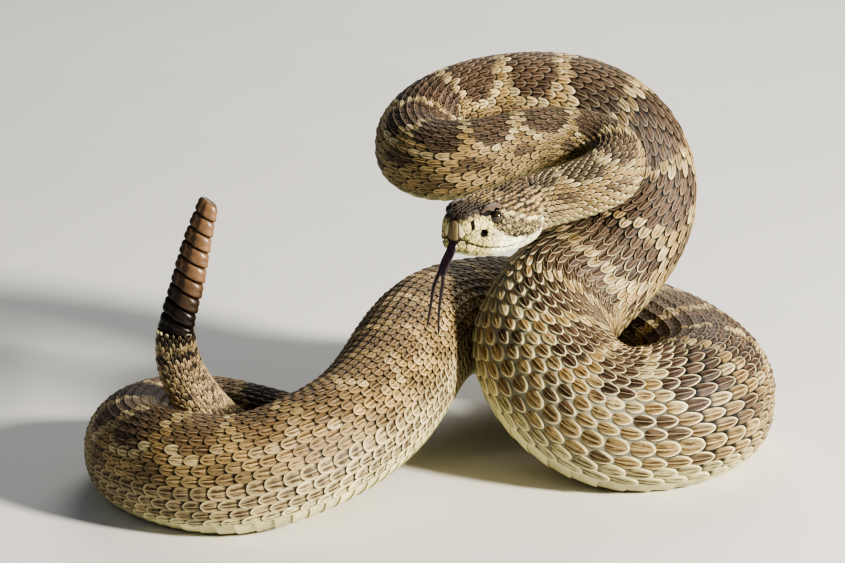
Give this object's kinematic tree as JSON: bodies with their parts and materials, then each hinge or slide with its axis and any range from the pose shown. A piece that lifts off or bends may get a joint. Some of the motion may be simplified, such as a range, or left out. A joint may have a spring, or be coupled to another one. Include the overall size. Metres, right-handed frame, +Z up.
{
  "type": "prairie rattlesnake model",
  "caption": "Still life-size prairie rattlesnake, coiled and alert with its neck drawn back in a loop, head facing forward, forked tongue out and tail raised with its rattle",
  "frame": {"origin": "on the floor, below the middle of the model's bounding box", "axes": "+X is the snake's spread from its rattle side to its raised coil, as seen from the camera's right; +Y runs away from the camera; +Z is up"},
  "size_m": [0.2346, 0.1678, 0.1365],
  "materials": {
    "head": "dry brown head scales",
    "lower_jaw": "pale yellow chin scales",
    "eye": "wet dark eye",
    "tongue": "moist black skin",
    "body": "dry keeled scales, tan with brown blotches",
    "tail": "dry scales with dark rings",
    "rattle": "smooth horn"
  },
  "bodies": {
    "root": {"head": "head", "lower_jaw": "lower_jaw", "eye_left": "eye", "eye_right": "eye", "tongue": "tongue", "neck": "body", "torso_01": "body", "torso_02": "body", "torso_03": "body", "torso_04": "body", "torso_05": "body", "torso_06": "body", "torso_07": "body", "torso_08": "body", "torso_09": "body", "torso_10": "body", "torso_11": "body", "torso_12": "body", "torso_13": "body", "tail": "tail", "rattle": "rattle"}
  },
  "joints": []
}
